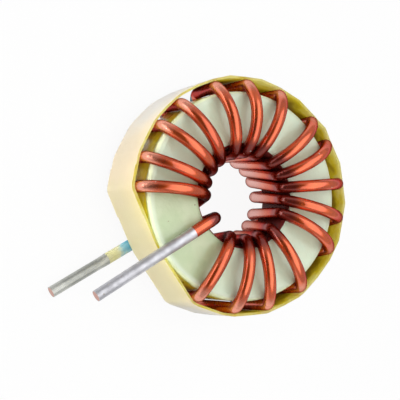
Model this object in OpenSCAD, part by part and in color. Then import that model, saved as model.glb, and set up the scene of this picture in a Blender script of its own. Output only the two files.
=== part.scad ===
// Toroidal inductor: a coated iron-powder ring wound with one thick enamelled
// copper wire and wrapped once round the outside with tape. Millimetres, +Z up.
// The origin is on the ring's axis, on the plane that the rear strands rest on.
// Both leads leave towards -Y. Angles are in degrees, anticlockwise from +X.

/* [Part] */
// Sub-part to draw

/* [Ring core] */
// Outside diameter of the coated ring
core_od = 27; // [26.5:0.25:29]
// Diameter of the ring's hole
core_id = 12.9; // [12.6:0.1:13.4]
// Height of the ring along its axis
core_height = 7.5; // [6.5:0.25:9]
// Radius of the ring's rounded edges
edge_round = 0.8; // [0.8:0.1:1.2]
// Depth of the pale paint on the front face
face_coat_depth = 0.15; // [0.1:0.05:0.3]

/* [Wire] */
// Diameter of the enamelled wire
wire_d = 1.5; // [1.3:0.05:1.5]
// Thickness of the enamel
enamel = 0.07; // [0.04:0.01:0.08]
// Clearance between the wire and the ring's walls
wire_gap = 0.1; // [0.05:0.05:0.3]
// Radius of the wire's bends at the ring's edges, to the wire's centre
bend_r = 1.5; // [1.2:0.1:1.6]

/* [Strands] */
// Angle of the first strand at the outer edge
outer_start = -124; // [-125:1:-122]
// Angle from the first strand to the last at the outer edge
outer_span = 298; // [296:1:300]
// Angle of the first strand at the hole
inner_start = -120; // [-120.5:0.5:-119]
// Angle from the first strand to the last at the hole
inner_span = 292.5; // [292:0.5:294]
// Height of the front strands' unrounded shoulders over the ring's front face
front_shoulder_rise = -0.1; // [-0.1:0.05:0.4]
// Height of the front strands' unrounded peaks over their shoulders
front_arch = 4.8; // [4.6:0.1:5]
// Radius of the front strands' arches, where the ring is wide enough for it
front_arch_r = 5; // [4:0.2:5.2]
// Height of the rear strands' unrounded shoulders over the ring's rear face
rear_shoulder_rise = 0.55; // [0.4:0.05:1]
// Height of the rear strands' unrounded peaks over their shoulders
rear_arch = 2; // [1.5:0.25:2.25]
// Radius of the rear strands' arches
rear_arch_r = 6; // [4:0.5:6.5]
// Angle by which the front strands bow sideways
strand_bow = -2; // [-3:0.5:0]

/* [Leads] */
// Sideways place of the front lead
front_lead_x = 0.1; // [-0.2:0.1:0.4]
// Distance from the axis to the front lead's unrounded bend
front_lead_root = 5.2; // [4.9:0.1:5.5]
// Height of the front lead over the ring's front face
front_lead_rise = 1.15; // [0.9:0.05:1.5]
// Reach of the front lead from the ring's axis
front_lead_reach = 24.3; // [23:0.1:28]
// Distance from the axis to the end of the front lead's enamel
front_enamel_reach = 9.3; // [8.5:0.1:11]
// Sideways place of the rear lead's end
rear_lead_x = -1.15; // [-1.5:0.05:-0.9]
// Depth of the rear lead under the ring's rear face
rear_lead_drop = 1.83; // [1.7:0.01:1.85]
// Reach of the rear lead from the ring's axis
rear_lead_reach = 25.8; // [25:0.1:28]
// Distance from the axis to the end of the rear lead's enamel
rear_enamel_reach = 17.2; // [16.5:0.1:18]
// Diameter of the tinned leads at the enamel
tin_start_d = 1.54; // [1.52:0.01:1.6]
// Diameter of the tinned leads at their free ends
tin_end_d = 1.44; // [1.4:0.01:1.5]
// Length over which the front lead's tin thins
front_tin_taper = 6.7; // [6:0.1:8]
// Length over which the rear lead's tin thins
rear_tin_taper = 1.5; // [1:0.1:2]

/* [Tape] */
// Width of the tape
tape_width = 8; // [7:0.25:8]
// Thickness of one turn of the tape
tape_turn = 0.1; // [0.06:0.02:0.14]
// Whole turns of the tape
tape_turns = 3; // [1:1:4]
// Outward bulge of the tape between two strands on the side away from the leads
tape_bulge = 0.4; // [0:0.1:0.6]
// Clearance between the tape and the wire
tape_gap = 0.04; // [0.02:0.02:0.1]
// Distance from the ring's front face down to the tape's front edge
tape_drop = 0.55; // [0.4:0.05:1]
// Angle by which the tape's end runs past its whole turns
tape_lap = 24; // [15:1:30]

/* [Hidden] */
$fn = 48;

// Hand winding: how far each strand slips from even spacing at the outer edge and at
// the hole, how far it leans down the outer wall and down the hole, and how far its
// bow differs from the others
outer_slip = [0, 5, 7, 11, 9, 10.5, 10.5, 7, 12, 10, 11.5, 14, 7, 5, 6, 4];
inner_slip = [0, 3.5, 3.5, 6.5, 3.5, 5, 8, 4, 4.5, 7, 10.5, 11.5, 5, 4, 4.5, 0];
wall_lean = [-1, -2, -3, -4, -4, 3, 3, -1, -2, -2, -4, -4, -3, -1, -6, 2];
hole_lean = [24, 12, 13, 13, 13, 13, 13, 13, 15, 14, 8, 2, 10, 8, 10, 10, 12];
bow_slip = [0, 3.5, 4, 3.5, 2.5, 0, 1.5, -1, -2, 0, -1, 2, -3.5, -6, -3, -5];
strands = len(outer_slip);
// Angle at which the wire comes up the hole for the last time, to the front lead
last_pass = -449;
// Angles at which the tape bears on the ring itself, between the leads
ring_rests = [-449, -455];
// Angle at which the tape's whole turns start
lap_start = -110;

// The elbows are a trace thicker than the straight rods, which reach a trace into them
swell = 0.02;
seat = 0.05;

// The stripped copper, at the enamel and from where the scraping evens out
bare_d = wire_d - 2 * enamel;
scraped_d = bare_d - 0.04;
hole_r = core_id / 2 - wire_gap - wire_d / 2;
wall_r = core_od / 2 + wire_gap + wire_d / 2;
mid_r = (hole_r + wall_r) / 2;
half_width = (wall_r - hole_r) / 2;

// The front strands' slope, and the radius of their arches, which leaves a straight
// stretch next to each shoulder
front_slope = atan(front_arch / half_width);
shoulder_trim = bend_r * tan((90 - front_slope) / 2);
arch_room = (half_width / cos(front_slope) - shoulder_trim - 0.2) / tan(front_slope);
arch_r = min(front_arch_r, arch_room);

// How far the rear strands' arches come down under their shoulders
rear_slope = atan(rear_arch / half_width);
rear_sag = rear_arch - rear_arch_r * (1 / cos(rear_slope) - 1);
// Height of the ring's middle over the plane that it rests on
ring_z = core_height / 2 + rear_shoulder_rise + rear_sag + wire_d / 2 + swell;
front_z = ring_z + core_height / 2;
rear_z = ring_z - core_height / 2;
front_shoulder_z = front_z + front_shoulder_rise;
rear_shoulder_z = rear_z - rear_shoulder_rise;

front_lead_z = front_z + front_lead_rise;
rear_lead_z = rear_z - rear_lead_drop;
front_end = [front_lead_x, -front_lead_reach, front_lead_z];
rear_end = [rear_lead_x, -rear_lead_reach, rear_lead_z];

function unit(v) = v / norm(v);
function polar(r, a, z) = [r * cos(a), r * sin(a), z];

function outer_a(i) = outer_start - outer_span * i / (strands - 1) + outer_slip[i];
function inner_a(i) =
    i == strands ? last_pass : inner_start - inner_span * i / (strands - 1) + inner_slip[i];
function wall_rear_a(i) = outer_a(i) + wall_lean[i];
function hole_rear_a(i) = inner_a(i) + hole_lean[i];

rear_start = polar(hole_r, hole_rear_a(0), rear_lead_z);
front_start = [front_lead_x, -front_lead_root, front_lead_z];

// The wire's corners in order, from the rear lead to the front lead, each with the
// radius that rounds it. Each strand has six: hole rear, hole front, front arch,
// wall front, wall rear, rear arch.
corners = concat(
    [[rear_end, 0]],
    [
        for (i = [0:strands - 1])
            each [
                [i == 0 ? rear_start : polar(hole_r, hole_rear_a(i), rear_shoulder_z), bend_r],
                [polar(hole_r, inner_a(i), front_shoulder_z), bend_r],
                [
                    polar(
                        mid_r,
                        (inner_a(i) + outer_a(i)) / 2 + strand_bow + bow_slip[i],
                        front_shoulder_z + front_arch
                    ),
                    arch_r
                ],
                [polar(wall_r, outer_a(i), front_shoulder_z), bend_r],
                [polar(wall_r, wall_rear_a(i), rear_shoulder_z), bend_r],
                [
                    polar(
                        mid_r,
                        (wall_rear_a(i) + hole_rear_a(i + 1)) / 2,
                        rear_shoulder_z - rear_arch
                    ),
                    rear_arch_r
                ]
            ]
    ],
    [
        [polar(hole_r, hole_rear_a(strands), rear_shoulder_z), bend_r],
        [front_start, bend_r],
        [front_end, 0]
    ]
);
last = len(corners) - 1;

// Distance from a corner to where its rounding starts
function trim(k) =
    let (
        u = unit(corners[k - 1][0] - corners[k][0]),
        v = unit(corners[k + 1][0] - corners[k][0])
    ) corners[k][1] * tan((180 - acos(u * v)) / 2);

// Point on the line from corner k towards corner j, just inside the rounding at k
function rod_end(k, j) =
    corners[k][0] + unit(corners[j][0] - corners[k][0]) * (trim(k) - seat);

// Point on a lead at a distance along -Y from the axis
function on_lead(a, b, reach) = a + (b - a) * ((-reach - a.y) / (b.y - a.y));
front_enamel_end = on_lead(front_start, front_end, front_enamel_reach);
rear_enamel_end = on_lead(rear_start, rear_end, rear_enamel_reach);

// Stands its children, drawn up from the origin, on a with their top towards b
module along(a, b) {
    v = b - a;
    translate(a)
        rotate([0, acos(v.z / norm(v)), atan2(v.y, v.x)])
            children();
}

// A round bar from a to b
module bar(a, b, d) {
    along(a, b)
        cylinder(h = norm(b - a), d = d);
}

// The wire's bend at corner k
module elbow(k) {
    u = unit(corners[k - 1][0] - corners[k][0]);
    v = unit(corners[k + 1][0] - corners[k][0]);
    r = corners[k][1];
    inward = unit(v - u * (u * v));
    centre = corners[k][0] + u * trim(k) + inward * r;
    side = cross(-inward, -u);
    multmatrix([
        [-inward.x, -u.x, side.x, centre.x],
        [-inward.y, -u.y, side.y, centre.y],
        [-inward.z, -u.z, side.z, centre.z],
        [0, 0, 0, 1]
    ])
        rotate_extrude(angle = 180 - acos(u * v))
            translate([r, 0])
                circle(d = wire_d + swell);
}

module ring() {
    w = (core_od - core_id) / 2;
    translate([0, 0, ring_z])
        rotate_extrude()
            translate([core_id / 2, -core_height / 2]) {
                translate([edge_round, 0])
                    square([w - 2 * edge_round, core_height]);
                translate([0, edge_round])
                    square([w, core_height - 2 * edge_round]);
                for (x = [edge_round, w - edge_round], y = [edge_round, core_height - edge_round])
                    translate([x, y])
                        circle(r = edge_round);
            }
}

// Everything higher than the lower edge of the front face's paint
module paint_zone() {
    translate([0, 0, front_z - face_coat_depth])
        cylinder(h = core_height, d = core_od + 2);
}

module core() {
    color([0.62, 0.55, 0.1])
        difference() {
            ring();
            paint_zone();
        }
}

module face_coat() {
    color([0.78, 0.82, 0.72])
        intersection() {
            ring();
            paint_zone();
        }
}

module winding() {
    color([0.76, 0.33, 0.14]) {
        stripped_end(rear_enamel_end, rear_end, rear_tin_taper);
        bar(rear_enamel_end, rod_end(1, 0), wire_d);
        for (k = [1:last - 2])
            bar(rod_end(k, k + 1), rod_end(k + 1, k), wire_d);
        for (k = [1:last - 1])
            elbow(k);
        bar(front_enamel_end, rod_end(last - 1, last), wire_d);
        stripped_end(front_enamel_end, front_end, front_tin_taper);
    }
}

// Section of a stripped lead, from its axis to a radius at the enamel and at the end
function lead_section(start_r, end_r, taper, length) = [
    [start_r, 0],
    [end_r, taper],
    [end_r, length]
];

// The copper of a stripped lead, rooted a trace inside the enamelled wire
module stripped_end(from, to, taper) {
    length = norm(to - from);
    along(from, to)
        rotate_extrude()
            polygon(concat(
                [[0, -seat], [bare_d / 2, -seat]],
                lead_section(bare_d / 2, scraped_d / 2, taper, length),
                [[0, length]]
            ));
}

// Solder coat on a stripped lead: it thins from the enamel, then runs even to the end
module tin(from, to, taper) {
    length = norm(to - from);
    inside = lead_section(bare_d / 2, scraped_d / 2, taper, length);
    color([0.75, 0.75, 0.78])
        along(from, to)
            rotate_extrude()
                polygon(concat(
                    lead_section(tin_start_d / 2, tin_end_d / 2, taper, length),
                    [for (k = [2:-1:0]) inside[k]]
                ));
}

module front_lead_tin() {
    tin(front_enamel_end, front_end, front_tin_taper);
}

module rear_lead_tin() {
    tin(rear_enamel_end, rear_end, rear_tin_taper);
}

// What the tape bears on, clockwise, as the angle and radius of a wire's centre: both
// ends of each wire wall, then the bare ring between the leads
rests = concat(
    [
        for (i = [0:strands - 1])
            each [
                [max(outer_a(i), wall_rear_a(i)), wall_r],
                [min(outer_a(i), wall_rear_a(i)), wall_r]
            ]
    ],
    [for (a = ring_rests) [a, (core_od - wire_d) / 2]]
);

// Direction square to the tape's run from rest k to the next
function facing(k) =
    let (
        p = rests[k % len(rests)],
        q = rests[(k + 1) % len(rests)]
    ) unit(cross([0, 0, 1], polar(q[1], q[0], 0) - polar(p[1], p[0], 0)));

// Middle of the run from rest k to the next, a distance off. Runs from strand to strand
// bulge, more so away from the leads.
function run_middle(k, off) =
    let (
        a = (rests[k][0] + rests[k + 1][0]) / 2,
        middle = (polar(wall_r, rests[k][0], 0) + polar(wall_r, rests[k + 1][0], 0)) / 2
    ) middle + (off + tape_bulge * pow((1 + sin(a)) / 2, 2)) * facing(k);

// Outline of the tape, a distance off the wires' centres: rounded over each rest
function tape_outline(off) = [
    for (k = [0:len(rests) - 1])
        let (
            at = polar(rests[k][1], rests[k][0], 0),
            before = facing(k + len(rests) - 1),
            after = facing(k),
            bulges = k % 2 == 1 && k < 2 * strands - 1
        )
            for (
                p = concat(
                    [for (t = [0:2]) at + off * unit(before * (2 - t) + after * t)],
                    bulges ? [run_middle(k, off)] : []
                )
            )
                [p.x, p.y]
];

module tape() {
    inner = (wire_d + swell) / 2 + tape_gap;
    color([0.95, 0.9, 0.72])
        translate([0, 0, front_z - tape_drop - tape_width])
            linear_extrude(height = tape_width)
                difference() {
                    union() {
                        polygon(tape_outline(inner + tape_turns * tape_turn));
                        intersection() {
                            polygon(tape_outline(inner + (tape_turns + 1) * tape_turn));
                            polygon([
                                [0, 0],
                                core_od * [cos(lap_start), sin(lap_start)],
                                core_od * [cos(lap_start - tape_lap), sin(lap_start - tape_lap)]
                            ]);
                        }
                    }
                    polygon(tape_outline(inner));
                }
}

core();
face_coat();
winding();
front_lead_tin();
rear_lead_tin();
tape();
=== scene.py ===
# %% [markdown]
# # Toroidal inductor
# A coated iron-powder ring carries one thick enamelled copper wire, wound round it by
# hand. A cream tape holds the winding round the outside, and the wire's two tinned ends
# leave on one side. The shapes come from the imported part. They could be modelled again
# here, but then two models would have to be kept alike, so this lesson only adds the
# finishes, the floor, the light and the camera.

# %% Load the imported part
import math

import bmesh
import bpy
from mathutils import Matrix, Vector


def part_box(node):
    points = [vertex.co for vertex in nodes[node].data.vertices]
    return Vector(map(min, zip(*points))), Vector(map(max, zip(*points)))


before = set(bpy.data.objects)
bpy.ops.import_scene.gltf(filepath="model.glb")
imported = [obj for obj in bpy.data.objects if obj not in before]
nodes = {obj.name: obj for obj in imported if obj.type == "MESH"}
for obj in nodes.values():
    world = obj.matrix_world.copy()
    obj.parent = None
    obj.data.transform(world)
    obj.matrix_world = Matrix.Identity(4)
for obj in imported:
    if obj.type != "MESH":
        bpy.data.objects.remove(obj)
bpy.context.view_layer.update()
MM = 1000.0  # millimetres in a metre, which is the scene's own unit
print("nodes:", sorted(nodes))

# %% [markdown]
# ## The ring's own sizes
# The finishes change where the wire bends over the ring's edges and where the tape ends,
# so their places are counted from the ring. They could be typed as plain numbers, but
# then a ring of another size would leave its finishes behind. They are measured on the
# loaded model instead. The hole has no box of its own, so its radius is that of the
# ring's vertex nearest to the axis.

# %% Measure the ring
core_low, core_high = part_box("core")
face_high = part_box("face_coat")[1]
ring_radius = MM * core_high.x
ring_foot = MM * core_low.z
ring_top = MM * core_high.z
hole_radius = MM * min(math.hypot(v.co.x, v.co.y) for v in nodes["core"].data.vertices)
print("ring's radius, hole's radius:", round(ring_radius, 2), round(hole_radius, 2), "mm")
print("ring's foot and top:", round(ring_foot, 2), round(ring_top, 2), "mm up")

# %% [markdown]
# ## Camera
# The part is seen from above its leads, turned so that they point to the lower left. A
# Track To constraint could aim the camera, but it always points at its target and leaves
# the roll to be set apart. Here the camera's own three directions are turned step by
# step, as one would turn a camera on a tripod, so each angle has a plain meaning.

# %% Where the camera stands
STAND_OFF = 0.150  # metres from the ring's middle
TILT = math.radians(28.35)  # away from straight above
HEADING = math.radians(-113.32)  # round the ring's axis, from the +X side

# The painted face is narrower than the ring, so this point is 0.2 mm off the axis.
middle = (core_low + face_high) / 2
away = Vector((
    math.sin(TILT) * math.cos(HEADING),
    math.sin(TILT) * math.sin(HEADING),
    math.cos(TILT),
))
print("the camera looks at about", [round(MM * v, 2) for v in middle], "mm")

# %% Which way it is turned
ROLL = math.radians(83.21)  # round its own line of sight
PAN = math.radians(1.492)  # past the ring, in its own sideways direction
DIP = math.radians(0.159)  # past the ring, in its own upward direction
FIELD = math.radians(19.77)  # how wide it sees


def turn(a, b, angle):
    """Turns the square pair of directions a and b together, a towards b."""
    return (
        a * math.cos(angle) + b * math.sin(angle),
        b * math.cos(angle) - a * math.sin(angle),
    )


ahead = -away
right = ahead.cross(Vector((0, 0, 1))).normalized()
up = right.cross(ahead)
right, up = turn(right, up, ROLL)
right, ahead = turn(right, ahead, PAN)
up, ahead = turn(up, ahead, DIP)

camera_data = bpy.data.cameras.new("camera")
camera_data.angle = FIELD
camera_data.clip_start = 0.01  # metres, nearer than any part of the ring
camera = bpy.data.objects.new("camera", camera_data)
bpy.context.scene.collection.objects.link(camera)
bpy.context.scene.camera = camera
facing = Matrix((right, up, -ahead)).transposed().to_4x4()
camera.matrix_world = Matrix.Translation(middle + away * STAND_OFF) @ facing
print("camera at", [round(v, 4) for v in camera.matrix_world.translation])

# %% [markdown]
# ## Shared effects
# Real coatings are never one flat tone: they are cloudy, they carry specks, and they
# change from place to place on the ring. Each finish could hold its own copy of the nodes
# for that. Instead each effect is one node group, built once, and a finish places it with
# its own numbers. The groups read Object coordinates, so a pattern stays on its piece
# from whatever side it is seen. First come the helpers that join nodes.

# %% Helpers that build a tree of nodes
def add(tree, kind, **values):
    """Adds a node and sets what is named."""
    node = tree.nodes.new(kind)
    for key, value in values.items():
        setattr(node, key, value)
    return node


def feed(tree, value, socket):
    """Joins a socket to another, or sets it to a plain number or colour."""
    if isinstance(value, bpy.types.NodeSocket):
        tree.links.new(value, socket)
    elif isinstance(value, tuple):
        socket.default_value = (*value, 1) if len(socket.default_value) > len(value) else value
    else:
        socket.default_value = value


def reckon(tree, operation, *values):
    """One step of arithmetic, which changes over the surface as its values do."""
    node = add(tree, "ShaderNodeMath", operation=operation)
    for value, socket in zip(values, node.inputs):
        feed(tree, value, socket)
    return node.outputs["Value"]


def group(name, inputs, outputs):
    """Starts a node group of plain numbers, and gives its tree, its inputs and its end."""
    tree = bpy.data.node_groups.new(name, "ShaderNodeTree")
    for socket, value in inputs.items():
        made = tree.interface.new_socket(socket, in_out="INPUT", socket_type="NodeSocketFloat")
        made.default_value = value
    for socket in outputs:
        tree.interface.new_socket(socket, in_out="OUTPUT", socket_type="NodeSocketFloat")
    return tree, add(tree, "NodeGroupInput").outputs, add(tree, "NodeGroupOutput").inputs


print("helpers: add, feed, reckon, group")

# %% [markdown]
# ### Place on the ring
# Paint thins at the ring's rim and the wire's colour changes at its bends, so a finish has
# to know where a point lies: its direction round the axis, its distance from it and its
# height. A painted map could say so, but the ring is round and true, so a little
# arithmetic on the coordinates says it exactly, in degrees and millimetres.

# %% Effect: place on the ring
tree, given, end = group(
    "place on the ring", {"Millimetres": MM}, ["Angle", "Radius", "Height"],
)
parts = add(tree, "ShaderNodeSeparateXYZ")
feed(tree, add(tree, "ShaderNodeTexCoord").outputs["Object"], parts.inputs["Vector"])
x, y, z = parts.outputs
y_squared = reckon(tree, "MULTIPLY", y, y)
across = reckon(tree, "SQRT", reckon(tree, "MULTIPLY_ADD", x, x, y_squared))
feed(tree, reckon(tree, "DEGREES", reckon(tree, "ARCTAN2", y, x)), end["Angle"])
feed(tree, reckon(tree, "MULTIPLY", across, given["Millimetres"]), end["Radius"])
feed(tree, reckon(tree, "MULTIPLY", z, given["Millimetres"]), end["Height"])
print(tree.name, "gives", [socket.name for socket in end if socket.name])

# %% [markdown]
# ### Cloudy
# A dipped or brushed coat is uneven over a few millimetres. An image could show that, but
# a Noise texture has no edges, needs no unwrapping and can be given its size in
# millimetres. Most of its values lie near the middle, so Map Range spreads those out.

# %% Effect: cloudy
NOISE_LOW, NOISE_HIGH = 0.3, 0.7  # most of the noise lies between these
FINE_LAYERS = 3.0  # how many finer layers lie over the first


def spread(tree, value, low, high, to_low=0.0, to_high=1.0):
    """Maps low..high to to_low..to_high with soft ends."""
    node = add(tree, "ShaderNodeMapRange", interpolation_type="SMOOTHSTEP")
    for name, number in (("Value", value), ("From Min", low), ("From Max", high),
                         ("To Min", to_low), ("To Max", to_high)):
        feed(tree, number, node.inputs[name])
    return node.outputs["Result"]


tree, given, end = group("cloudy", {"Millimetres": 3.0, "Low": 0.0, "High": 1.0}, ["Value"])
noise = add(tree, "ShaderNodeTexNoise")
feed(tree, FINE_LAYERS, noise.inputs["Detail"])
feed(tree, add(tree, "ShaderNodeTexCoord").outputs["Object"], noise.inputs["Vector"])
feed(tree, reckon(tree, "DIVIDE", MM, given["Millimetres"]), noise.inputs["Scale"])
evened = spread(tree, noise.outputs["Fac"], NOISE_LOW, NOISE_HIGH, given["Low"], given["High"])
feed(tree, evened, end["Value"])
print(tree.name, "takes", [socket.name for socket in given if socket.name])

# %% [markdown]
# ### Specks
# Dust, flux and grime sit in small separate spots. They could be scattered as tiny
# meshes, but at this size a mask is enough. A Voronoi texture divides the surface into
# cells. Each cell's random colour says whether it holds a spot, and how large the spot is.

# %% Effect: specks
tree, given, end = group("specks", {"Millimetres": 1.0, "Share": 0.2, "Size": 0.2}, ["Mask"])
cells = add(tree, "ShaderNodeTexVoronoi")
feed(tree, add(tree, "ShaderNodeTexCoord").outputs["Object"], cells.inputs["Vector"])
feed(tree, reckon(tree, "DIVIDE", MM, given["Millimetres"]), cells.inputs["Scale"])
chance = add(tree, "ShaderNodeSeparateXYZ")
feed(tree, cells.outputs["Color"], chance.inputs["Vector"])
chosen = reckon(tree, "LESS_THAN", chance.outputs["X"], given["Share"])
size = reckon(tree, "MULTIPLY", given["Size"], chance.outputs["Y"])
near = reckon(tree, "LESS_THAN", cells.outputs["Distance"], size)
feed(tree, reckon(tree, "MULTIPLY", chosen, near), end["Mask"])
print("effects:", sorted(tree.name for tree in bpy.data.node_groups))

# %% [markdown]
# ### Placing the effects
# A finish asks for an effect by name, with its own numbers. Most finishes want the same
# few things, a cloudy value, some specks or a slightly rippled surface, so each of these
# has a short helper.

# %% Helpers that place the effects
def effect(tree, name, **values):
    """Places a node group in a finish with its own numbers."""
    node = add(tree, "ShaderNodeGroup", node_tree=bpy.data.node_groups[name])
    for key, value in values.items():
        feed(tree, value, node.inputs[key])
    return node.outputs


def cloudy(tree, width, low=0.0, high=1.0):
    """A value that drifts from low to high, in clouds about so many millimetres wide."""
    return effect(tree, "cloudy", Millimetres=width, Low=low, High=high)["Value"]


def specks(tree, apart, share, size):
    """A mask of spots, in a share of the cells that lie so many millimetres apart."""
    return effect(tree, "specks", Millimetres=apart, Share=share, Size=size)["Mask"]


def rippled(tree, width, depth):
    """A normal that rises and falls by a depth, in ripples of a width, in millimetres."""
    node = add(tree, "ShaderNodeBump")
    feed(tree, depth / MM, node.inputs["Distance"])
    feed(tree, cloudy(tree, width), node.inputs["Height"])
    return node.outputs["Normal"]


print("helpers: effect, cloudy, specks, rippled")

# %% [markdown]
# ## Enamelled wire
# The wire is copper under a clear amber enamel. One plain orange paint could stand for
# both, but it would lose the two kinds of highlight that such a wire has. The Principled
# BSDF gives both: its metal base is the copper, with broad orange reflections, and its
# coat is the enamel, with narrow pale ones. A dark Specular Tint takes the shine off the
# wire's edges, where it turns away from the eye.

# %% The wire's two tones
DEEP_AMBER = (0.66, 0.082, 0.010)
CLEAR_AMBER = (0.84, 0.122, 0.018)


def new_finish(name, **values):
    """A new material, with its shader's own numbers and colours set."""
    made = bpy.data.materials.new(name)
    made.use_nodes = True
    shader = made.node_tree.nodes["Principled BSDF"]
    for key, value in values.items():
        feed(made.node_tree, value, shader.inputs[key.replace("_", " ")])
    return made, made.node_tree, shader.inputs


def mixed(tree, factor, first, second):
    """One colour where the factor is 0, and the other where it is 1."""
    # The node has sockets for every kind of value, so they are told apart by identifier.
    node = add(tree, "ShaderNodeMix", data_type="RGBA")
    sockets = {socket.identifier: socket for socket in (*node.inputs, *node.outputs)}
    feed(tree, factor, sockets["Factor_Float"])
    feed(tree, first, sockets["A_Color"])
    feed(tree, second, sockets["B_Color"])
    return sockets["Result_Color"]


enamel, tree, sockets = new_finish(
    "enamel", Specular_Tint=(0.06, 0.01, 0.005), Coat_Roughness=0.12, Coat_IOR=1.7,
)
colour = mixed(tree, cloudy(tree, 2.5), DEEP_AMBER, CLEAR_AMBER)
feed(tree, rippled(tree, 1.6, 0.005), sockets["Normal"])
print(enamel.name, "starts with", len(tree.nodes), "nodes")

# %% [markdown]
# ### Colour along the wire
# The wire looks pink inside the hole, dark at its inner bends and pale at its outer
# bends. That is light and shade between crowded strands, painted on: the pink is a painted
# reflection of pale light, the dark is painted shade and the pale is a painted highlight.
# They could be painted on by hand, strand by strand. Masks by radius and height do it for
# all the strands at once, and keep their places when the ring's size changes. Last come a
# few pale specks of dust.

# %% Painted reflection, shade and highlight where the wire bends
# Colours of the painted reflection, the painted shade and the painted highlight.
PAINTED_PINK_REFLECTION, PINK_SHARE = (0.90, 0.62, 0.58), 0.65
PAINTED_SHADE_RED, DARK_SHARE = (0.22, 0.010, 0.008), 0.85
PAINTED_HIGHLIGHT_ORANGE, PALE_SHARE = (0.95, 0.52, 0.38), 0.45
DUST = (0.85, 0.75, 0.68)
hole_edge = (hole_radius + 0.05, hole_radius + 0.55)
inner_edge = (hole_radius - 0.25, hole_radius + 0.95)
outer_edge = (ring_radius - 0.5, ring_radius + 0.9)
pink_fades = (ring_top - 6.07, ring_top - 1.07)
dark_comes = (ring_top - 1.87, ring_top - 0.27)
pale_comes = (ring_top - 1.57, ring_top + 0.43)

place = effect(tree, "place on the ring")


def where(radius, height):
    """A mask from two soft steps, each with its start, its end and its two values."""
    return reckon(
        tree, "MULTIPLY",
        spread(tree, place["Radius"], *radius),
        spread(tree, place["Height"], *height),
    )


# Masks for the painted reflection in the hole, painted shade at the inner bends and painted
# highlight at the outer ones.
reflection_in_hole = where((*hole_edge, 1.0, 0.0), (*pink_fades, PINK_SHARE, 0.0))
shade_at_inner_bend = where((*inner_edge, 1.0, 0.0), (*dark_comes, 0.0, DARK_SHARE))
highlight_at_outer_bend = where((*outer_edge, 0.0, 1.0), (*pale_comes, 0.0, PALE_SHARE))
colour = mixed(tree, reflection_in_hole, colour, PAINTED_PINK_REFLECTION)
colour = mixed(tree, shade_at_inner_bend, colour, PAINTED_SHADE_RED)
colour = mixed(tree, highlight_at_outer_bend, colour, PAINTED_HIGHLIGHT_ORANGE)
colour = mixed(tree, specks(tree, 0.8, share=0.12, size=0.16), colour, DUST)
print("the inner bends darken from", round(dark_comes[0], 1), "mm up")

# %% [markdown]
# ### Colour band on the rear lead
# On the rear lead the wire is blue next to the tape and straw-yellow towards the tin, and
# dull there, with no metal shine. That band could be a second material on that lead's
# faces, but then its edge would follow the mesh. A mask in the wire's own finish gives a
# soft, uneven edge, and takes the metal's place where the band is. The mask goes by height
# and radius alone, so the lowest outer bends of the other strands take some of the band
# too, low down behind the tape. A mask by direction as well would keep it to the lead.

# %% The band's colours and its place
BLUE = (0.10, 0.42, 0.60)
PALE_BLUE = (0.33, 0.58, 0.66)
GREENISH = (0.70, 0.70, 0.46)
STRAW = (0.66, 0.64, 0.33)
PALE_STRAW = (0.62, 0.60, 0.42)
band_starts = (ring_radius - 0.5, ring_radius - 0.1)
band_stops = (ring_foot - 0.72, ring_foot - 0.32)  # heights, just over that lead


def ramp(tree, factor, stops):
    """Colours along a value, with each stop's place given on the value's own scale."""
    start, length = stops[0][0], stops[-1][0] - stops[0][0]
    node = add(tree, "ShaderNodeValToRGB")
    elements = node.color_ramp.elements
    while len(elements) < len(stops):
        elements.new(0.5)  # anywhere, as its place is set below
    for element, (value, shade) in zip(elements, stops):
        element.position = (value - start) / length
        element.color = (*shade, 1)
    along = reckon(tree, "MULTIPLY_ADD", factor, 1 / length, -start / length)
    feed(tree, along, node.inputs["Fac"])
    return node.outputs["Color"]


outward = reckon(tree, "ADD", place["Radius"], cloudy(tree, 1.0, -0.5, 0.5))
colour_band = ramp(tree, outward, [
    (ring_radius - 0.3, BLUE),
    (ring_radius + 1.2, PALE_BLUE),
    (ring_radius + 1.9, GREENISH),
    (ring_radius + 3.1, STRAW),
    (ring_radius + 4.5, PALE_STRAW),
])
low_down = spread(tree, place["Height"], *band_stops, 1.0, 0.0)
in_colour_band = reckon(tree, "MULTIPLY", low_down, spread(tree, outward, *band_starts))
feed(tree, mixed(tree, in_colour_band, colour, colour_band), sockets["Base Color"])
print("the lacquer starts about", round(band_starts[0], 1), "mm from the axis")

# %% [markdown]
# ### Shine of the wire
# A coat's gloss grows at a slant, so in a pale room every strand would get a white edge.
# On the real coil the next strand stands in the way there. Layer Weight measures the
# slant, and lowers the coat with it. It could darken the colour too, but a colour has to
# look the same from every side. The blue and straw band is no metal, and it is duller
# than enamel.

# %% Metal, coat and roughness
METAL = 0.92  # how metallic the bare enamelled wire is
COAT_FROM, COAT_TO = 0.40, 0.75  # slants, where 0 faces the eye and 1 is edge on
COAT_LOST = 0.8  # share of the coat that the band takes away
DULLER = 0.4  # roughness that the band adds

slant = add(tree, "ShaderNodeLayerWeight").outputs["Facing"]
clear = spread(tree, slant, COAT_FROM, COAT_TO, 1.0, 0.0)
bare = reckon(tree, "MULTIPLY_ADD", in_colour_band, -COAT_LOST, 1.0)
grain = cloudy(tree, 1.2, 0.24, 0.32)
feed(tree, reckon(tree, "MULTIPLY_ADD", in_colour_band, -METAL, METAL), sockets["Metallic"])
feed(tree, reckon(tree, "MULTIPLY", clear, bare), sockets["Coat Weight"])
feed(tree, reckon(tree, "MULTIPLY_ADD", in_colour_band, DULLER, grain), sockets["Roughness"])
print(enamel.name, "has", len(tree.nodes), "nodes")

# %% [markdown]
# ### Cut ends
# Pliers leave a small bare disc of copper at the end of each lead. It could be left in
# the wire's finish, but enamel has no place on a cut, so those faces get a plain satin
# copper of their own.

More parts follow.
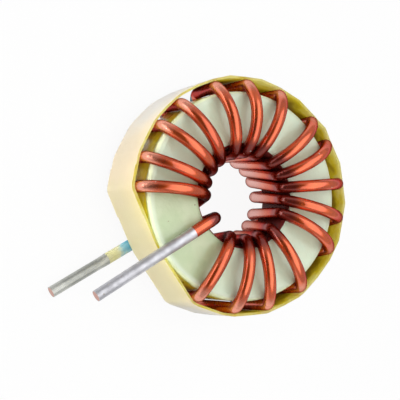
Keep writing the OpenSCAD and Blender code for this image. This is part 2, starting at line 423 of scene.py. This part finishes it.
# %% Cut copper
cut_copper = new_finish(
    "cut copper", Base_Color=(0.62, 0.36, 0.30), Metallic=1.0, Roughness=0.45,
)[0]
print("made", cut_copper.name)

# %% [markdown]
# ## Tinned ends
# The stripped ends are dipped in solder. It is a pale grey metal, bright but slightly
# lumpy, and duller where flux stayed on it. The lumps could be sculpted, but they are
# very shallow, so a bump is enough. The rear end is greyer than the front one, so both
# come from one recipe with two pairs of greys.

# %% Solder, bright and dull
FLUX = (0.42, 0.40, 0.38)


def tinned(name, dull, bright):
    """Solder that drifts between two greys, with spots of flux."""
    solder, tree, sockets = new_finish(name, Metallic=1.0)
    grey = mixed(tree, cloudy(tree, 1.8), dull, bright)
    flux = specks(tree, 0.9, share=0.25, size=0.25)
    feed(tree, mixed(tree, flux, grey, FLUX), sockets["Base Color"])
    feed(tree, cloudy(tree, 1.0, 0.42, 0.58), sockets["Roughness"])
    feed(tree, rippled(tree, 1.8, 0.02), sockets["Normal"])
    print(name, "has", len(tree.nodes), "nodes")
    return solder


front_tin = tinned("front tin", dull=(0.52, 0.52, 0.55), bright=(0.74, 0.74, 0.78))
rear_tin = tinned("rear tin", dull=(0.42, 0.43, 0.40), bright=(0.60, 0.61, 0.57))

# %% [markdown]
# ## Painted face of the ring
# The ring's front face is painted a pale grey-green under a thin clear coat. The paint is
# yellower in patches. Its colour is painted darker and greener on the side of the leads,
# where no wires shade the face, and paler elsewhere, where they do: painted shade and
# painted light that even out the wires' shade. At the rim it turns a pale yellow-green,
# partly where the paint thins over the rounded edge and partly as a painted highlight.
# It could be one colour with some noise, but then the face would look new and lifeless,
# so each of these is a layer of its own, with a few specks of grime on top.

# %% Face paint
# Painted shade and painted light: darker green where the face lies open by the leads, paler
# where wires shade it.
PAINTED_DARKER_GREEN = (0.52, 0.64, 0.37)
PAINTED_LIGHTER_GREEN = (0.69, 0.87, 0.66)
YELLOWED = (0.74, 0.80, 0.56)
# At the rim: partly thinner paint, partly a painted highlight on the rounded edge.
THIN_PAINT_AND_HIGHLIGHT_AT_RIM = (0.68, 0.77, 0.58)
GRIME = (0.30, 0.24, 0.13)
LEADS_AT = -92.0  # degrees round the axis
DARKER_TO, LIGHTER_FROM = 25.0, 50.0  # degrees to each side of the leads

face_paint, tree, sockets = new_finish("face paint", Coat_Weight=0.7, Coat_Roughness=0.12)
place = effect(tree, "place on the ring")
from_leads = reckon(tree, "ABSOLUTE", reckon(tree, "SUBTRACT", place["Angle"], LEADS_AT))
colour = mixed(tree, spread(tree, from_leads, DARKER_TO, LIGHTER_FROM), PAINTED_DARKER_GREEN, PAINTED_LIGHTER_GREEN)
colour = mixed(tree, cloudy(tree, 2.2, 0.0, 0.35), colour, YELLOWED)
rim = spread(tree, place["Radius"], ring_radius - 1.0, ring_radius - 0.3)
colour = mixed(tree, rim, colour, THIN_PAINT_AND_HIGHLIGHT_AT_RIM)
colour = mixed(tree, specks(tree, 1.3, share=0.08, size=0.10), colour, GRIME)
feed(tree, colour, sockets["Base Color"])
feed(tree, cloudy(tree, 1.5, 0.28, 0.45), sockets["Roughness"])
feed(tree, rippled(tree, 1.1, 0.03), sockets["Normal"])
print(face_paint.name, "has", len(tree.nodes), "nodes")

# %% [markdown]
# ## Coat of the ring's body
# The pressed iron-powder body has a glossy olive-yellow epoxy coat. The face's paint runs
# over the rounded edge and ends raggedly on the side. That border could follow the faces
# of the mesh, but it would be a clean step, so a height with a cloudy value added to it
# makes the edge wander.

# %% Ring coat
OLIVE, YELLOW = (0.80, 0.74, 0.02), (0.98, 0.93, 0.10)
PAINT_OVER_EDGE = (0.74, 0.82, 0.56)

ring_coat, tree, sockets = new_finish("ring coat", Coat_Weight=0.3, Coat_Roughness=0.1)
place = effect(tree, "place on the ring")
ragged = reckon(tree, "ADD", place["Height"], cloudy(tree, 1.2, -0.25, 0.25))
edge = spread(tree, ragged, ring_top - 1.1, ring_top - 0.7)
colour = mixed(tree, cloudy(tree, 1.6), OLIVE, YELLOW)
feed(tree, mixed(tree, edge, colour, PAINT_OVER_EDGE), sockets["Base Color"])
feed(tree, cloudy(tree, 1.5, 0.25, 0.4), sockets["Roughness"])
feed(tree, rippled(tree, 1.0, 0.04), sockets["Normal"])
print(ring_coat.name, "has", len(tree.nodes), "nodes")

# %% [markdown]
# ### Inside the hole
# Between the strands in the hole the coat looks dark red-brown, because most light there
# has met the copper first. The render could find that by itself, but only with many
# bounces in very thin gaps. A dark, dull finish on those faces gives it simply.

# %% Ring coat in the hole
DEEP_BROWN, RED_BROWN = (0.16, 0.014, 0.012), (0.24, 0.035, 0.028)

bore_coat, tree, sockets = new_finish(
    "ring coat in the bore", Roughness=0.5, Specular_IOR_Level=0.25,
)
feed(tree, mixed(tree, cloudy(tree, 1.5), DEEP_BROWN, RED_BROWN), sockets["Base Color"])
print(bore_coat.name, "has", len(tree.nodes), "nodes")

# %% [markdown]
# ## Tape, from outside
# The tape is a thin cream film, pinkish on the -X side of the leads and pale yellow next
# to them. Elsewhere it is painted almost white, a painted highlight where strong light
# bleaches the film. It could be three materials, but then each change would be a hard
# line, so one colour ramp follows the direction round the ring. Light shines through the
# film. Transmission would treat it as solid glass, so a Translucent shader is mixed in
# instead.

# %% Tape outside
# The near-white stops are a painted highlight.
TAPE_TONES_AND_HIGHLIGHT_ROUND = [  # degrees round the axis, and the colour there
    (-180, (0.95, 0.94, 0.91)),
    (-166, (0.95, 0.92, 0.84)),
    (-150, (0.95, 0.83, 0.62)),
    (-128, (0.95, 0.81, 0.57)),
    (-116, (0.90, 0.81, 0.49)),
    (-62, (0.89, 0.81, 0.49)),
    (-48, (0.95, 0.93, 0.85)),
    (180, (0.95, 0.94, 0.91)),
]
TAPE_STAIN = (0.80, 0.66, 0.36)


def let_through(film, share, colour):
    """Lets a share of the light shine through a thin film."""
    tree = film.node_tree
    shine = add(tree, "ShaderNodeBsdfTranslucent")
    mix = add(tree, "ShaderNodeMixShader")
    feed(tree, colour, shine.inputs["Color"])
    feed(tree, share, mix.inputs["Fac"])
    feed(tree, tree.nodes["Principled BSDF"].outputs["BSDF"], mix.inputs[1])
    feed(tree, shine.outputs["BSDF"], mix.inputs[2])
    feed(tree, mix.outputs["Shader"], tree.nodes["Material Output"].inputs["Surface"])


tape_back, tree, sockets = new_finish("tape outside", Roughness=0.45, Coat_Weight=0.15)
place = effect(tree, "place on the ring")
angle = reckon(tree, "ADD", place["Angle"], cloudy(tree, 4.0, -4.0, 4.0))
colour = ramp(tree, angle, TAPE_TONES_AND_HIGHLIGHT_ROUND)
colour = mixed(tree, cloudy(tree, 2.5, 0.0, 0.12), colour, TAPE_STAIN)
feed(tree, colour, sockets["Base Color"])
feed(tree, rippled(tree, 1.5, 0.04), sockets["Normal"])
let_through(tape_back, share=0.35, colour=(0.99, 0.94, 0.75))
print(tape_back.name, "has", len(tree.nodes), "nodes")

# %% [markdown]
# ## Tape, from inside
# The inner side carries a yellow gum. Its colour is painted pale at the open edge, where
# light comes in, and deep brown-yellow further down, as painted shade where little light
# gets in. One even yellow could stand for it, but the change with depth is what makes the
# gap beside the ring look deep.

# %% Tape inside
tape_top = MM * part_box("tape")[1].z
# Darker downwards as painted shade over the gum's yellow.
GUM_AND_SHADE_DOWN = [  # height, and the colour there
    (tape_top - 4.47, (0.20, 0.10, 0.005)),
    (tape_top - 2.87, (0.45, 0.33, 0.01)),
    (tape_top - 1.47, (0.90, 0.80, 0.06)),
    (tape_top + 0.13, (1.0, 0.97, 0.40)),
]

tape_inside, tree, sockets = new_finish(
    "tape inside", Roughness=0.35, Coat_Weight=0.4, Coat_Roughness=0.2,
)
place = effect(tree, "place on the ring")
depth = reckon(tree, "ADD", place["Height"], cloudy(tree, 3.0, -1.2, 1.2))
gum_and_shade = ramp(tree, depth, GUM_AND_SHADE_DOWN)
feed(tree, gum_and_shade, sockets["Base Color"])
let_through(tape_inside, share=0.7, colour=gum_and_shade)
print(tape_inside.name, "has", len(tree.nodes), "nodes; its top is", round(tape_top, 2), "mm up")

# %% [markdown]
# ## Which face gets which finish
# A node can hold several finishes, and each face keeps the number of one. The faces could
# be picked by hand in Edit Mode. A rule that looks at a face's direction and place picks
# the same ones on every run. The ring and the tape take their second finish where they
# look towards the axis, the tape's upper edge takes it too, and the wire takes its second
# finish on its two cut ends.

# %% Give each node its finishes
for name, finishes in {
    "core": [ring_coat, bore_coat],
    "face_coat": [face_paint],
    "winding": [enamel, cut_copper],
    "front_lead_tin": [front_tin],
    "rear_lead_tin": [rear_tin],
    "tape": [tape_back, tape_inside],
}.items():
    materials = nodes[name].data.materials
    materials.clear()
    for finish in finishes:
        materials.append(finish)
    print(name, "has", [finish.name for finish in finishes])

# %% Pick the faces
INWARD = -0.3  # how far a face has to look against the spoke from the axis to it
UPWARD = 0.6  # how far it has to look up
ALONG_Y = -0.9  # how far a cut end has to look along y
END_MARGIN = 0.3  # millimetres of the shorter lead's end
lead_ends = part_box("front_lead_tin")[0].y + END_MARGIN / MM  # both cuts lie beyond it


def looks_in(face):
    spoke = Vector((face.center.x, face.center.y, 0))
    return face.normal.dot(spoke) < INWARD * spoke.length


def looks_in_or_up(face):
    return looks_in(face) or face.normal.z > UPWARD


def is_cut_end(face):
    return face.normal.y < ALONG_Y and face.center.y < lead_ends


def mark(name, chosen):
    """Gives the chosen faces of a node its second finish, and the rest its first."""
    faces = nodes[name].data.polygons
    for face in faces:
        face.material_index = int(chosen(face))
    second = sum(face.material_index for face in faces)
    print(name, "has", second, "of", len(faces), "faces in its second finish")


mark("tape", looks_in_or_up)
mark("core", looks_in)
mark("winding", is_cut_end)

# %% [markdown]
# ## Floor
# The part lies on a wide sheet of pale paper. More light could make the paper white, but
# it would bleach the part too. Light Path tells which rays come from the camera, and for
# those the paper glows almost white, with a trace of its own shading left for the
# shadow. For rays that glossy pieces send on it glows fully, so they reflect white paper.

# %% A sheet of paper
FLOOR_WIDTH = 3.0  # metres
GLOW_SEEN = 0.92  # share of plain white in what the camera sees

sheet = bmesh.new()
bmesh.ops.create_grid(sheet, x_segments=1, y_segments=1, size=FLOOR_WIDTH / 2)
floor_data = bpy.data.meshes.new("floor")
sheet.to_mesh(floor_data)
sheet.free()
floor = bpy.data.objects.new("floor", floor_data)
bpy.context.scene.collection.objects.link(floor)

paper, tree, sockets = new_finish("paper", Base_Color=(0.85, 0.85, 0.85), Roughness=0.9)
ray = add(tree, "ShaderNodeLightPath").outputs
glowing = reckon(tree, "MULTIPLY", ray["Is Camera Ray"], GLOW_SEEN)
for kind in ("Is Glossy Ray", "Is Transmission Ray"):
    glowing = reckon(tree, "MAXIMUM", glowing, ray[kind])
glow = add(tree, "ShaderNodeEmission")
mix = add(tree, "ShaderNodeMixShader")
feed(tree, 1.0, glow.inputs["Strength"])
feed(tree, glowing, mix.inputs["Fac"])
feed(tree, tree.nodes["Principled BSDF"].outputs["BSDF"], mix.inputs[1])
feed(tree, glow.outputs["Emission"], mix.inputs[2])
feed(tree, mix.outputs["Shader"], tree.nodes["Material Output"].inputs["Surface"])
floor.data.materials.append(paper)
print("floor:", len(floor_data.polygons), "face,", round(floor.dimensions.x, 2), "m wide")

# %% [markdown]
# ## Room
# The room is pale all round, but darker on the side where one stands to look at the
# leads, and glossy wire shows that as dark bands. An image of a studio could light the
# part, but this script keeps to nodes: the dot product of a direction with the middle of
# the dark side says how near the two are, and sets the room's level there. The camera
# itself sees a plain backdrop past the floor.

# %% Room light
DARK_SIDE = (-0.311, -0.632, 0.710)  # towards its middle
DARK_FROM, DARK_TO = 0.6, 0.93  # dot products between which the room grows dark
ROOM_LEVEL, DARK_LEVEL = 0.50, 0.05

world = bpy.data.worlds.new("room")
bpy.context.scene.world = world
world.use_nodes = True
tree = world.node_tree
nearness = add(tree, "ShaderNodeVectorMath", operation="DOT_PRODUCT")
feed(tree, add(tree, "ShaderNodeTexCoord").outputs["Generated"], nearness.inputs[0])
feed(tree, DARK_SIDE, nearness.inputs[1])
near_dark = nearness.outputs["Value"]
level = spread(tree, near_dark, DARK_FROM, DARK_TO, ROOM_LEVEL, DARK_LEVEL)
room = tree.nodes["Background"]
feed(tree, level, room.inputs["Strength"])
feed(tree, (1.0, 1.0, 1.0), room.inputs["Color"])
print("the room's level goes from", ROOM_LEVEL, "to", DARK_LEVEL)

# %% Plain backdrop for the camera
BACKDROP = (0.8, 0.8, 0.8)

backdrop = add(tree, "ShaderNodeBackground")
mix = add(tree, "ShaderNodeMixShader")
feed(tree, BACKDROP, backdrop.inputs["Color"])
feed(tree, add(tree, "ShaderNodeLightPath").outputs["Is Camera Ray"], mix.inputs["Fac"])
feed(tree, room.outputs["Background"], mix.inputs[1])
feed(tree, backdrop.outputs["Background"], mix.inputs[2])
feed(tree, mix.outputs["Shader"], tree.nodes["World Output"].inputs["Surface"])
print("the camera sees a plain backdrop of", BACKDROP)

# %% [markdown]
# ## Lamps
# Glossy wire shows the shape of each lamp, so a point or a sun would leave hard white
# dots on it. Soft boxes leave long even lines. One hangs over the ring and one is a low
# strip to one side of the leads. Two more only fill the shade, and don't show in
# reflections.
# A flat lamp's watts are its brightness times pi times its area, so the brightness is
# given, and a change of size leaves it alone.

# %% Softboxes
LAMP_DISTANCE = 0.5  # metres from the ring's middle


def softbox(name, direction, long_way, length, breadth, brightness, mirrored=True):
    """A rectangular lamp that faces the ring, with its length along long_way."""
    data = bpy.data.lights.new(name, "AREA")
    data.shape = "RECTANGLE"
    data.size = length
    data.size_y = breadth
    data.energy = brightness * math.pi * length * breadth
    lamp = bpy.data.objects.new(name, data)
    back = Vector(direction).normalized()
    side = back.cross(Vector(long_way)).normalized()
    facing = Matrix((side.cross(back), side, back)).transposed().to_4x4()
    lamp.matrix_world = Matrix.Translation(middle + back * LAMP_DISTANCE) @ facing
    lamp.visible_camera = False
    lamp.visible_glossy = mirrored
    bpy.context.scene.collection.objects.link(lamp)
    print(name, "gives", round(data.energy, 2), "watts")


softbox(
    "overhead", direction=(0.142, 0.145, 0.979), long_way=(-0.66, 0.72, 0.15),
    length=1.2, breadth=0.60, brightness=1.2,
)
softbox(
    "low strip", direction=(-0.70, -0.71, 0.13), long_way=(0.71, -0.70, 0),
    length=0.45, breadth=0.13, brightness=2.2,
)
softbox(
    "front fill", direction=(-0.27, -0.56, 0.78), long_way=(-0.87, 0.49, 0),
    length=0.35, breadth=0.35, brightness=0.6, mirrored=False,
)
softbox(
    "low fill", direction=(-0.60, -0.80, 0.12), long_way=(0.82, -0.57, 0),
    length=1.1, breadth=0.12, brightness=7.0, mirrored=False,
)

# %% [markdown]
# ## Colours
# The usual view transform softens bright colours as film does. The colours here are
# meant to be seen as they are written, so Standard takes its place.

# %% Show colours as they are written
bpy.context.scene.view_settings.view_transform = "Standard"
print("view transform:", bpy.context.scene.view_settings.view_transform)
